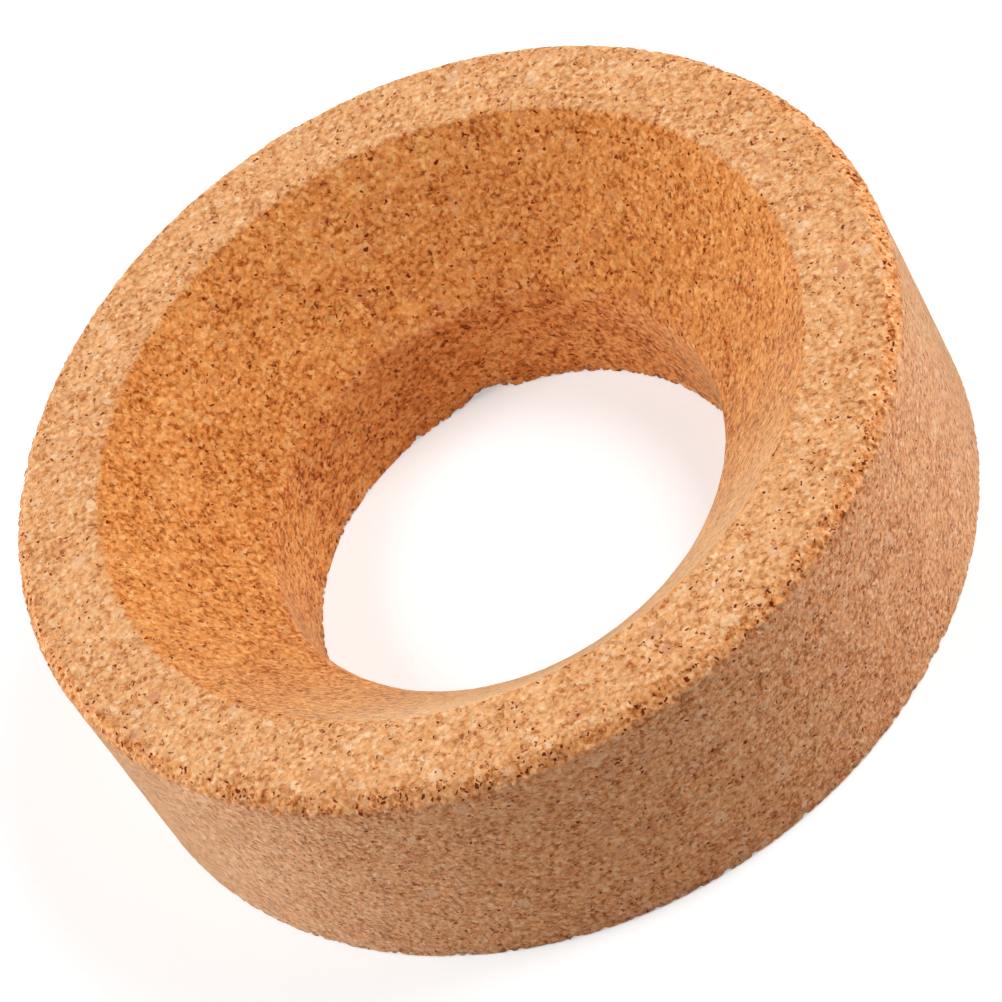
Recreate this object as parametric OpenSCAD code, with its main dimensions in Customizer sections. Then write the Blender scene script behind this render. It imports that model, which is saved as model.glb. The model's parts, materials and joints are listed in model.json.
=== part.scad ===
// Cork ring: a bench stand for round-bottomed flasks, turned from one block of pressed cork.
// It stands on its flat underside, centred on the Z axis, with the flask seat upwards.

/* [Body] */
// Outer diameter
outer_d = 110; // [104:1:160]
// Height from the bench to the flat rim
height = 32.5; // [28:0.5:45]
// Bevel that breaks the outer edge of the rim, the same across and down
rim_bevel = 1.5; // [0.5:0.1:3]

/* [Flask seat] */
// Diameter of the conical seat at its mouth, where it meets the rim
mouth_d = 88; // [72:1:94]
// Diameter of the straight bore below the seat
bore_d = 57; // [30:1:64]
// Length of the bore, from the underside up to the foot of the seat
bore_length = 15.5; // [6:0.5:24]

/* [Hidden] */
outer_r = outer_d / 2;
mouth_r = mouth_d / 2;
bore_r = bore_d / 2;
cork = [0.84, 0.61, 0.39];

// Half of the ring's section, to the right of the turning axis: the bore wall, the flat
// underside, the outer wall, the bevel, the flat rim, and the slope of the seat back down.
module ring_section() {
    polygon([
        [bore_r, 0],
        [outer_r, 0],
        [outer_r, height - rim_bevel],
        [outer_r - rim_bevel, height],
        [mouth_r, height],
        [bore_r, bore_length],
    ]);
}

// The whole ring, turned in one piece
module cork_ring() {
    color(cork)
        rotate_extrude($fn = 180)
            ring_section();
}

cork_ring();
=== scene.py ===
import json
import math
from collections import namedtuple

import bpy
import numpy as np
from mathutils import Matrix, Vector


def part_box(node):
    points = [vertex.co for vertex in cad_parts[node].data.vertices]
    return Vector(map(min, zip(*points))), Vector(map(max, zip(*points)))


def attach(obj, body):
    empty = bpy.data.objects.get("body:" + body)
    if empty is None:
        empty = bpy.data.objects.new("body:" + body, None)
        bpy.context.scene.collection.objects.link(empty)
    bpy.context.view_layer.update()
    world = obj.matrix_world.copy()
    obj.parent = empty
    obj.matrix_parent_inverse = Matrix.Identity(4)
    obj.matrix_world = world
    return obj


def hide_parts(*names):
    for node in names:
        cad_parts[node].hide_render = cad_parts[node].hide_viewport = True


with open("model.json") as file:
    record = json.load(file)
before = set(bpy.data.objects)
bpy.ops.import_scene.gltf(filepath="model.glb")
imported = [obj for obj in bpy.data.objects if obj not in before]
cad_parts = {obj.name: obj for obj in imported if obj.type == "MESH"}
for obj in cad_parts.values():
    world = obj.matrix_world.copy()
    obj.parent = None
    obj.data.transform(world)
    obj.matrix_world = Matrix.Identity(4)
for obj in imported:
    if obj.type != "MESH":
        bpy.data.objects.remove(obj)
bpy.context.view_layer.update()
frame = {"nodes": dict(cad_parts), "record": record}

# ------------------------------------------------------------------------------------------
# Cork ring: its shape. One block of fine pressed cork, turned in a lathe: a flat underside,
# a straight wall, a bevel, a flat rim, a conical seat and a bore. The cut crumbles a little
# at each edge, where granules fall out.
# ------------------------------------------------------------------------------------------
solid = frame["nodes"]["cork_ring"]
cad_points = np.empty(len(solid.data.vertices) * 3)
solid.data.vertices.foreach_get("co", cad_points)
cad_points = cad_points.reshape(-1, 3)
cad_reach = np.hypot(cad_points[:, 0], cad_points[:, 1])

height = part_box("cork_ring")[1][2]
outer_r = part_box("cork_ring")[1][1]
on_rim = cad_points[:, 2] > height - 1e-5
rim_r = cad_reach[on_rim].max()
mouth_r = cad_reach[on_rim].min()
rim_bevel = outer_r - rim_r
bore = next(mount for mount in frame["record"]["mounts"] if mount["name"] == "bore")
bore_r = bore["dims"]["r_mm"] / 1000
bore_length = bore["dims"]["length_mm"] / 1000

MM = 0.001

# The section's corners, each with the radius of its rounding in mm, how deep its edge
# crumbles in mm, the face that follows it and the spacing of that face's rows in mm
Corner = namedtuple("Corner", "place radius crumble face spacing")
CORNERS = [
    Corner((bore_r, 0.0), 0.25, 0.70, "under", 3.0),
    Corner((outer_r, 0.0), 0.30, 0.40, "wall", 0.9),
    Corner((outer_r, height - rim_bevel), 1.00, 0.34, "bevel", 0.3),
    Corner((rim_r, height), 1.20, 0.34, "rim", 0.8),
    Corner((mouth_r, height), 0.80, 0.34, "seat", 0.9),
    Corner((bore_r, bore_length), 2.50, 0.04, "bore", 0.8),
]

# A row is one circle of vertices: its radius and height, the way it is pushed outward, its
# distance to the nearest edge and that edge's crumble depth, all in mm, the faces before and
# after it with the share of the second, and whether it has the fine number of vertices
Row = namedtuple("Row", "r z out_r out_z to_edge crumble before after share fine")
VERTICES_COARSE = 432
VERTICES_FINE = 3 * VERTICES_COARSE
ARC_STEPS = 3

# Where the fine rows beside an edge lie in mm, as long as that is within the given share of
# the face, so that the rows from both its edges don't meet, and how far the crumbling reaches
BESIDE_EDGE = (0.25, 0.6)
LARGEST_SHARE = 0.4
EDGE_REACH = 0.6

# One chip at the bore's foot: where it is, and its half length and half width in mm
CHIP_ANGLE = math.radians(80)
CHIP_LENGTH = 3.0
CHIP_WIDTH = 1.6

# The least that the underside's skin lies above the floor, in mm
UNDERSIDE_LIFT = 0.02


def rotated(way, angle):
    """A direction in the section, turned anticlockwise by the angle."""
    return np.array([
        way[0] * math.cos(angle) - way[1] * math.sin(angle),
        way[0] * math.sin(angle) + way[1] * math.cos(angle),
    ])


def section_rows():
    """The ring's section as rows: corners rounded by arcs, with straight faces between them.

    With the turn as the angle between the faces' directions, an arc starts and ends at
    radius * tan(turn / 2) from its corner. The outward way is the corner's bisector on the
    arc. Along a face it goes to the normal, by exp(-(distance / EDGE_REACH)^2), so that a
    crumbled edge doesn't fold over itself.
    """
    count = len(CORNERS)
    places = np.array([corner.place for corner in CORNERS]) / MM
    runs = np.roll(places, -1, axis=0) - places
    lengths = np.linalg.norm(runs, axis=1)
    ways = runs / lengths[:, None]
    normals = np.column_stack([ways[:, 1], -ways[:, 0]])
    turns = [math.acos(float(ways[i - 1] @ ways[i])) for i in range(count)]
    tangents = [corner.radius * math.tan(turn / 2) for corner, turn in zip(CORNERS, turns)]
    rows = []
    for i, corner in enumerate(CORNERS):
        last, following = CORNERS[i - 1], CORNERS[(i + 1) % count]
        fine = corner.face != "bore"
        centre = places[i] - tangents[i] * ways[i - 1] - corner.radius * normals[i - 1]
        outward = rotated(normals[i - 1], turns[i] / 2)
        for k in range(ARC_STEPS + 1):
            share = k / ARC_STEPS
            place = centre + corner.radius * rotated(normals[i - 1], turns[i] * share)
            rows.append(Row(*place, *outward, 0.0, corner.crumble, last.face, corner.face,
                            share, fine))
        start, end = tangents[i], lengths[i] - tangents[(i + 1) % count]
        steps = [step for step in BESIDE_EDGE if step < LARGEST_SHARE * (end - start)]
        head = [start + step for step in steps] if fine else []
        tail = [end - step for step in reversed(steps)] if following.face != "bore" else []
        low = head[-1] if head else start
        high = tail[0] if tail else end
        middle = np.linspace(low, high, max(2, round((high - low) / corner.spacing) + 1))[1:-1]
        for at in [*head, *middle, *tail]:
            to_start, to_end = at - start, end - at
            to_edge = min(to_start, to_end)
            if to_start < to_end:
                crumble, lean = corner.crumble, -turns[i] / 2
            else:
                crumble, lean = following.crumble, turns[(i + 1) % count] / 2
            outward = rotated(normals[i], lean * math.exp(-((to_edge / EDGE_REACH) ** 2)))
            fine_row = at in head or at in tail or corner.face == "bevel"
            rows.append(Row(*(places[i] + at * ways[i]), *outward, to_edge, crumble,
                            corner.face, corner.face, 1.0, fine_row))
    return rows


def hashed(cell, salt):
    """A fixed number from 0 to 1 for each whole-numbered cell: its three coordinates times
    large odd numbers, mixed by shifts and multiplications that wrap round at 32 bits."""
    mixed = (cell.astype(np.int64) + 4096).astype(np.uint32)
    mixed = (mixed * np.array([73856093, 19349663, 83492791], np.uint32)).sum(1, dtype=np.uint32)
    mixed = mixed ^ np.uint32(salt * 2654435 + 97)
    for shift, factor in ((16, 2146121005), (15, 2221713035), (16, 1)):
        mixed = (mixed ^ (mixed >> np.uint32(shift))) * np.uint32(factor)
    return mixed / 2.0**32


def waves(points, size, salt):
    """Smooth noise from 0 to 1: the hashed values at a cubic lattice's corners, blended by
    the smooth step 3t^2 - 2t^3 along each axis."""
    cell = np.floor(points / size)
    part = points / size - cell
    part = part * part * (3 - 2 * part)
    total = np.zeros(len(points))
    for corner in np.ndindex(2, 2, 2):
        weight = np.prod(np.where(corner, part, 1 - part), axis=1)
        total += weight * hashed(cell + corner, salt)
    return total


def craters(points, size, share, reach, salt):
    """Bowls from 0 to 1 deep, where granules fell out: each cubic cell has one centre at a
    hashed place, the given share of them hold a bowl, and its depth is 1 - (d / reach)^2,
    with 0.6 to 1 times the given reach."""
    cell = np.floor(points / size)
    deepest = np.zeros(len(points))
    for step in np.ndindex(3, 3, 3):
        home = cell + step - np.array([1, 1, 1])
        centre = np.stack([hashed(home, salt + axis) for axis in range(3)], 1)
        apart = np.linalg.norm(points - (home + centre) * size, axis=1)
        held = hashed(home, salt + 3) < share
        scale = reach * (0.6 + 0.4 * hashed(home, salt + 4))
        deepest = np.maximum(deepest, np.where(held, 1 - (apart / scale) ** 2, 0))
    return np.clip(deepest, 0, 1)


def chip(points):
    """The chip's share at each point, from 0 to 1: exp(-(a / length)^2 - (b / width)^2), with
    a along the bore's foot from the chip's middle and b across it."""
    across_foot = np.array([math.cos(CHIP_ANGLE), math.sin(CHIP_ANGLE), 0])
    along_foot = np.array([-math.sin(CHIP_ANGLE), math.cos(CHIP_ANGLE), 0])
    offset = points - bore_r / MM * across_foot
    along = offset @ along_foot
    across_squared = (offset**2).sum(1) - along**2
    return np.exp(-((along / CHIP_LENGTH) ** 2) - across_squared / CHIP_WIDTH**2)


def worn(points, to_edge, crumble):
    """How far each point moves outward, in mm: slow waves all over, less shallow pits away
    from the edges, less the crumble at the edges and in the chip. The crumble's depth is
    small bowls, large bowls and fine noise together, and the chip adds its own depth."""
    chipped = chip(points)
    at_edge = np.maximum(np.exp(-((to_edge / EDGE_REACH) ** 2)), chipped)
    small_bowls = craters(points, size=0.8, share=0.5, reach=0.56, salt=10)
    large_bowls = craters(points, size=4.0, share=0.16, reach=1.1, salt=30)
    pits = craters(points, size=2.4, share=0.16, reach=0.9, salt=20)
    fine_noise = 0.8 * (waves(points, size=0.4, salt=6) - 0.5)
    chip_depth = 0.85 + 0.5 * waves(points, size=0.9, salt=5)
    rough = (small_bowls + 0.8 * large_bowls + fine_noise) * (1 - 0.6 * chipped)
    move = 0.06 * (waves(points, size=1.3, salt=1) - 0.5)
    move += 0.08 * (waves(points, size=5.0, salt=2) - 0.5)
    move -= at_edge * crumble * rough + 0.16 * pits * (1 - at_edge)
    return move - chip_depth * chipped


def joined(first, first_count, second, second_count):
    """The faces between two circles, each given by its first vertex and number of vertices:
    quads where the numbers agree, else three faces for each side of the coarse circle."""
    if first_count == second_count:
        i = np.arange(first_count)
        j = (i + 1) % first_count
        return np.column_stack([first + i, first + j, second + j, second + i]).tolist()
    flip = first_count > second_count
    coarse, fine = (second, first) if flip else (first, second)
    i = np.arange(VERTICES_COARSE)
    c0, c1 = coarse + i, coarse + (i + 1) % VERTICES_COARSE
    f0, f1, f2 = fine + 3 * i, fine + 3 * i + 1, fine + 3 * i + 2
    f3 = fine + (3 * i + 3) % VERTICES_FINE
    faces = []
    for corners in ((c0, f1, f0), (c0, c1, f2, f1), (c1, f3, f2)):
        faces += np.column_stack(corners[::-1] if flip else corners).tolist()
    return faces


def turned_ring(name):
    """The ring as one closed skin: every row is a circle of the section about the Z axis, and
    each vertex moves along its row's outward way by the wear. The underside only moves up, by
    UNDERSIDE_LIFT or more, so that nothing goes below the floor."""
    rows = section_rows()
    counts = [VERTICES_FINE if row.fine else VERTICES_COARSE for row in rows]
    starts = [sum(counts[:i]) for i in range(len(rows))]
    base, outward = [], []
    for row, count in zip(rows, counts):
        angle = np.arange(count) * math.tau / count
        circle = np.stack([np.cos(angle), np.sin(angle)], 1)
        base.append(np.column_stack([row.r * circle, np.full(count, row.z)]))
        outward.append(np.column_stack([row.out_r * circle, np.full(count, row.out_z)]))
    base = np.concatenate(base)
    outward = np.concatenate(outward)
    to_edge = np.repeat([row.to_edge for row in rows], counts)
    crumble = np.repeat([row.crumble for row in rows], counts)
    move = worn(base, to_edge, crumble)
    underside = outward[:, 2] < -0.5
    move = np.where(underside, np.minimum(move - UNDERSIDE_LIFT, 0), move)
    faces = []
    for i, (start, count) in enumerate(zip(starts, counts)):
        after = (i + 1) % len(rows)
        faces += joined(start, count, starts[after], counts[after])
    mesh = bpy.data.meshes.new(name)
    mesh.from_pydata(((base + outward * move[:, None]) * MM).tolist(), [], faces)
    for face in ("wall", "bevel", "seat", "bore"):
        weight = [
            (1 - row.share) * (row.before == face) + row.share * (row.after == face)
            for row in rows
        ]
        weight = np.repeat(weight, counts)
        mesh.attributes.new(face, "FLOAT", "POINT").data.foreach_set("value", weight)
    blotch = 0.6 * waves(base, size=2.2, salt=3) + 0.4 * waves(base, size=4.5, salt=4)
    mesh.attributes.new("blotch", "FLOAT", "POINT").data.foreach_set("value", blotch)
    mesh.polygons.foreach_set("use_smooth", np.ones(len(mesh.polygons), bool))
    mesh.update()
    piece = bpy.data.objects.new(name, mesh)
    bpy.context.scene.collection.objects.link(piece)
    return piece


ring = turned_ring("pressed_cork_ring")

# ------------------------------------------------------------------------------------------
# Cork ring: its finish. Pale and darker granules under 1 mm across, pressed together with
# small dark gaps, and left matte by the knife.
# ------------------------------------------------------------------------------------------


class Field:
    """A shader socket that Python arithmetic works on: each operator adds one Math node."""

    def __init__(self, tree, socket=None):
        self.tree = tree
        self.socket = socket

    def add(self, kind, sockets, outputs=(0,), stops=None, **settings):
        """Adds a node: its settings first, then the values or links of its sockets. Gives one
        field for each output asked for."""
        node = self.tree.nodes.new("ShaderNode" + kind)
        for name, setting in settings.items():
            setattr(node, name, setting)
        if stops:
            ramp = node.color_ramp
            while len(ramp.elements) < len(stops):
                ramp.elements.new(1.0)
            for element, (at, colour) in zip(ramp.elements, stops):
                element.position = at
                element.color = (*colour, 1.0)
        for name, value in sockets.items():
            if isinstance(value, Field):
                self.tree.links.new(value.socket, node.inputs[name])
            else:
                node.inputs[name].default_value = value
        fields = [Field(self.tree, node.outputs[output]) for output in outputs if node.outputs]
        return fields[0] if len(fields) == 1 else fields

    def math(self, operation, *values):
        return self.add("Math", dict(enumerate(values)), operation=operation)

    def __add__(self, other):
        return self.math("ADD", self, other)

    def __radd__(self, other):
        return self.math("ADD", other, self)

    def __sub__(self, other):
        return self.math("SUBTRACT", self, other)

    def __mul__(self, other):
        return self.math("MULTIPLY", self, other)

    def __rmul__(self, other):
        return self.math("MULTIPLY", other, self)

    def step(self, low, high):
        """0 below low, 1 above high, smooth between; low may be above high."""
        return self.add("MapRange", {"Value": self, "From Min": low, "From Max": high},
                        interpolation_type="SMOOTHSTEP")

    def blend(self, first, second, how="MIX"):
        """Colour first where this value is 0; where it is 1, first with second laid on it."""
        first, second = ((*c, 1.0) if isinstance(c, tuple) else c for c in (first, second))
        return self.add("Mix", {0: self, 6: first, 7: second}, outputs=(2,), data_type="RGBA",
                        blend_type=how)


def srgb(red, green, blue):
    """A display colour from 0 to 255 as the linear colour that a shader socket takes."""
    share = [value / 255 for value in (red, green, blue)]
    return tuple(s / 12.92 if s <= 0.04045 else ((s + 0.055) / 1.055) ** 2.4 for s in share)


cork = bpy.data.materials.new("pressed_cork")
cork.use_nodes = True
cork.node_tree.nodes.clear()
start = Field(cork.node_tree)

# Places in mm, and the same squeezed into thin layers, as the knife left the wall and bore
place = start.add("TexCoord", {}, outputs=(3,))
place = start.add("Mapping", {"Vector": place, "Scale": (1000, 1000, 1000)})
layers = start.add("Mapping", {"Vector": place, "Scale": (1, 1, 2.5)})
on_wall, on_bevel, on_seat, on_bore, blotch = (
    start.add("Attribute", {}, outputs=(2,), attribute_name=name)
    for name in ("wall", "bevel", "seat", "bore", "blotch")
)

# Granules: cells about half a millimetre across with bent borders, one tone and tint each
bend = start.add("TexNoise", {"Vector": place, "Scale": 1.9, "Detail": 0.0}, outputs=(1,))
bend = start.add("VectorMath", {0: bend, "Scale": 0.8}, operation="SCALE")
bent = start.add("VectorMath", {0: place, 1: bend}, operation="ADD")
apart, pick = start.add("TexVoronoi", {"Vector": bent, "Scale": 1.72}, outputs=(0, 1))
tone, kind, rare = start.add("SeparateColor", {"Color": pick}, outputs=(0, 1, 2))

# Mottle within and between granules, in thin layers where the knife followed the wall
mottle = start.add("TexNoise", {"Vector": place, "Scale": 1.62, "Detail": 1.5,
                                "Roughness": 0.55}) - 0.5
streak = start.add("TexNoise", {"Vector": layers, "Scale": 1.4, "Detail": 1.0,
                                "Roughness": 0.8}) - 0.5

# The shade, from 0 dark to 1 pale: each face has its own contrast, and blotches a few
# millimetres across are strongest in the bore
on_turned = on_wall + 0.8 * on_bore
contrast = 0.93 + 0.57 * on_bevel + 0.3 * on_seat + 0.75 * on_bore + 0.12 * on_wall
# The bore's paler shade is painted light on its walls. The bevel is a little paler too.
shade = 0.56 + 0.07 * on_bevel + 0.09 * on_bore
shade = shade + contrast * ((tone - 0.5) * 0.36 + mottle * 1.04)
shade = shade + on_turned * streak * 0.62 - apart.step(0.5, 1.0) * 0.2
shade = shade + (blotch - 0.5) * (0.2 + 0.12 * on_seat + 0.3 * on_bore)
colour = start.add("ValToRGB", {"Fac": shade}, stops=[
    (0.0, srgb(128, 58, 21)),
    (0.22, srgb(183, 115, 65)),
    (0.50, srgb(222, 164, 117)),
    (0.76, srgb(240, 188, 143)),
    (1.0, srgb(254, 218, 181)),
])
tint = kind.blend(srgb(255, 238, 209), srgb(249, 253, 249))
colour = start.add("Mix", {0: 1.0, 6: colour, 7: tint}, outputs=(2,), data_type="RGBA",
                   blend_type="MULTIPLY")

# Now and then a granule up to 2 mm across, paler or redder: one at most in a 4 mm cube
coarse = start.add("VectorMath", {0: bent, "Scale": 0.25}, operation="SCALE")
cell = start.add("VectorMath", {0: coarse}, operation="FLOOR")
hue, spot = start.add("TexWhiteNoise", {"Vector": cell}, outputs=(0, 1))
spot = start.add("VectorMath", {0: spot, "Scale": 0.5}, operation="SCALE")
spot = start.add("VectorMath", {0: spot, 1: cell}, operation="ADD")
spot = start.add("VectorMath", {0: spot, 1: (0.25, 0.25, 0.25)}, operation="ADD")
away = start.add("VectorMath", {0: coarse, 1: spot}, outputs=(1,), operation="DISTANCE")
lump = away.step(0.24, 0.20) * hue.step(0.55, 0.56)
lump_tint = hue.step(0.55, 1.0).blend(srgb(246, 206, 168), srgb(196, 122, 86))
colour = (lump * 0.5).blend(colour, lump_tint)

# Sparse dark pits, pale granules and dark red bits of bark. The pits are painted shade: small hollows
# that the surface has no dent for.
pale = kind.step(0.97, 0.98)
colour = (pale * 0.6).blend(colour, srgb(244, 208, 168))
bark = kind.step(0.025, 0.02) * apart.step(0.6, 0.4)
colour = (bark * 0.8).blend(colour, srgb(150, 70, 46))
often = rare + 0.14 * on_bevel + 0.02 * on_wall - 0.04 * (on_seat + on_bore)
pit = often.step(0.89, 0.91) * (apart - 0.06 * on_bevel + 0.08 * on_wall).step(0.45, 0.32)
colour = (pit * 0.95).blend(colour, srgb(112, 25, 0))

# Each face has a cast of its own against the rim. On the seat and the bore the deeper orange is
# partly painted light: it stands for light that bounces between the ring's inner walls.
for on_face, face_tint_and_painted_light in (
    (on_bevel, srgb(255, 236, 217)),
    (on_wall, srgb(252, 236, 235)),
    (on_seat, srgb(253, 228, 186)),
    (on_bore, srgb(255, 223, 174)),
):
    colour = on_face.blend(colour, face_tint_and_painted_light, how="MULTIPLY")

# The relief is stronger on the wall and the seat, and the sheen lightens what is seen edge-on
relief = mottle * (1.0 + 2.4 * on_wall + 1.2 * on_seat)
bump = start.add("Bump", {"Strength": 0.6, "Distance": 0.00012, "Height": relief})
skin = start.add("BsdfPrincipled", {
    "Base Color": colour, "Roughness": 0.92, "Specular IOR Level": 0.08, "Normal": bump,
    "Sheen Weight": 0.6, "Sheen Roughness": 0.34, "Sheen Tint": (0.97, 1.0, 0.73, 1.0),
})
start.add("OutputMaterial", {"Surface": skin})

ring.data.materials.append(cork)
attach(ring, "root")
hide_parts("cork_ring")

# ------------------------------------------------------------------------------------------
# Camera, floor and lamps
# ------------------------------------------------------------------------------------------
view_height = math.radians(47.38)
view_roll = math.radians(32.05)
view_distance = 0.5821
view_lens = 176.6
aim_height = 0.4637 * height
aim_right = 0.00046
aim_up = -0.0013

back = Vector((0, -math.cos(view_height), math.sin(view_height)))
level = Vector((1, 0, 0))
rise = back.cross(level)
right = level * math.cos(view_roll) - rise * math.sin(view_roll)
up = level * math.sin(view_roll) + rise * math.cos(view_roll)
stand = Vector((0, 0, aim_height)) + back * view_distance + right * aim_right + up * aim_up
camera = bpy.data.objects.new("camera", bpy.data.cameras.new("camera"))
camera.data.lens = view_lens
camera.data.sensor_width = 36
camera.data.clip_start = 0.01
camera.matrix_world = Matrix.Translation(stand) @ Matrix((right, up, back)).transposed().to_4x4()
bpy.context.scene.collection.objects.link(camera)
bpy.context.scene.camera = camera

# The floor is as wide as the lamps light it. Its glow makes it white outside the ring's
# shadow, and beyond it the white background shows
FLOOR_HALF = 0.6
FLOOR_TONE = (0.75, 0.78, 0.80, 1)
FLOOR_GLOW = 0.42
SKY = 0.12
floor_mesh = bpy.data.meshes.new("floor")
floor_corners = [(x * FLOOR_HALF, y * FLOOR_HALF, 0) for x, y in ((-1, -1), (1, -1), (1, 1), (-1, 1))]
floor_mesh.from_pydata(floor_corners, [], [(0, 1, 2, 3)])
floor = bpy.data.objects.new("floor", floor_mesh)
bpy.context.scene.collection.objects.link(floor)
pale_floor = bpy.data.materials.new("pale_floor")
pale_floor.use_nodes = True
pale_floor.node_tree.nodes.clear()
plain = Field(pale_floor.node_tree)
seen, glossy, through = plain.add("LightPath", {}, outputs=(0, 3, 6))
glow = plain.add("Emission", {"Strength": (seen + glossy + through) * FLOOR_GLOW})
cloth = plain.add("BsdfDiffuse", {"Color": FLOOR_TONE})
both = plain.add("AddShader", {0: glow, 1: cloth})
plain.add("OutputMaterial", {"Surface": both})
floor.data.materials.append(pale_floor)

world = bpy.data.worlds.new("studio")
bpy.context.scene.world = world
world.use_nodes = True
world.node_tree.nodes.clear()
air = Field(world.node_tree)
seen, glossy, through = air.add("LightPath", {}, outputs=(0, 3, 6))
sky = air.add("Background", {"Color": (1, 1, 1, 1),
                             "Strength": SKY + (seen + glossy + through) * (1.0 - SKY)})
air.add("OutputWorld", {"Surface": sky})


def lamp(name, azimuth, elevation, size, power):
    """A square soft lamp 1 m from the ring, which faces it. Azimuth 0 is the viewer's side."""
    a, e = math.radians(azimuth), math.radians(elevation)
    away = Vector((math.sin(a) * math.cos(e), -math.cos(a) * math.cos(e), math.sin(e)))
    light = bpy.data.lights.new(name, "AREA")
    light.size = size
    light.energy = power
    stand = bpy.data.objects.new(name, light)
    stand.location = away + Vector((0, 0, height / 2))
    stand.rotation_euler = away.to_track_quat("Z", "Y").to_euler()
    stand.visible_camera = False
    bpy.context.scene.collection.objects.link(stand)


lamp("left_low", azimuth=-120, elevation=8, size=0.6, power=7.4)
lamp("left_high", azimuth=-90, elevation=48, size=0.6, power=5.1)
lamp("right_low", azimuth=90, elevation=8, size=0.6, power=5.1)
lamp("right_high", azimuth=90, elevation=48, size=0.6, power=6.9)

bpy.context.scene.view_settings.view_transform = "Standard"
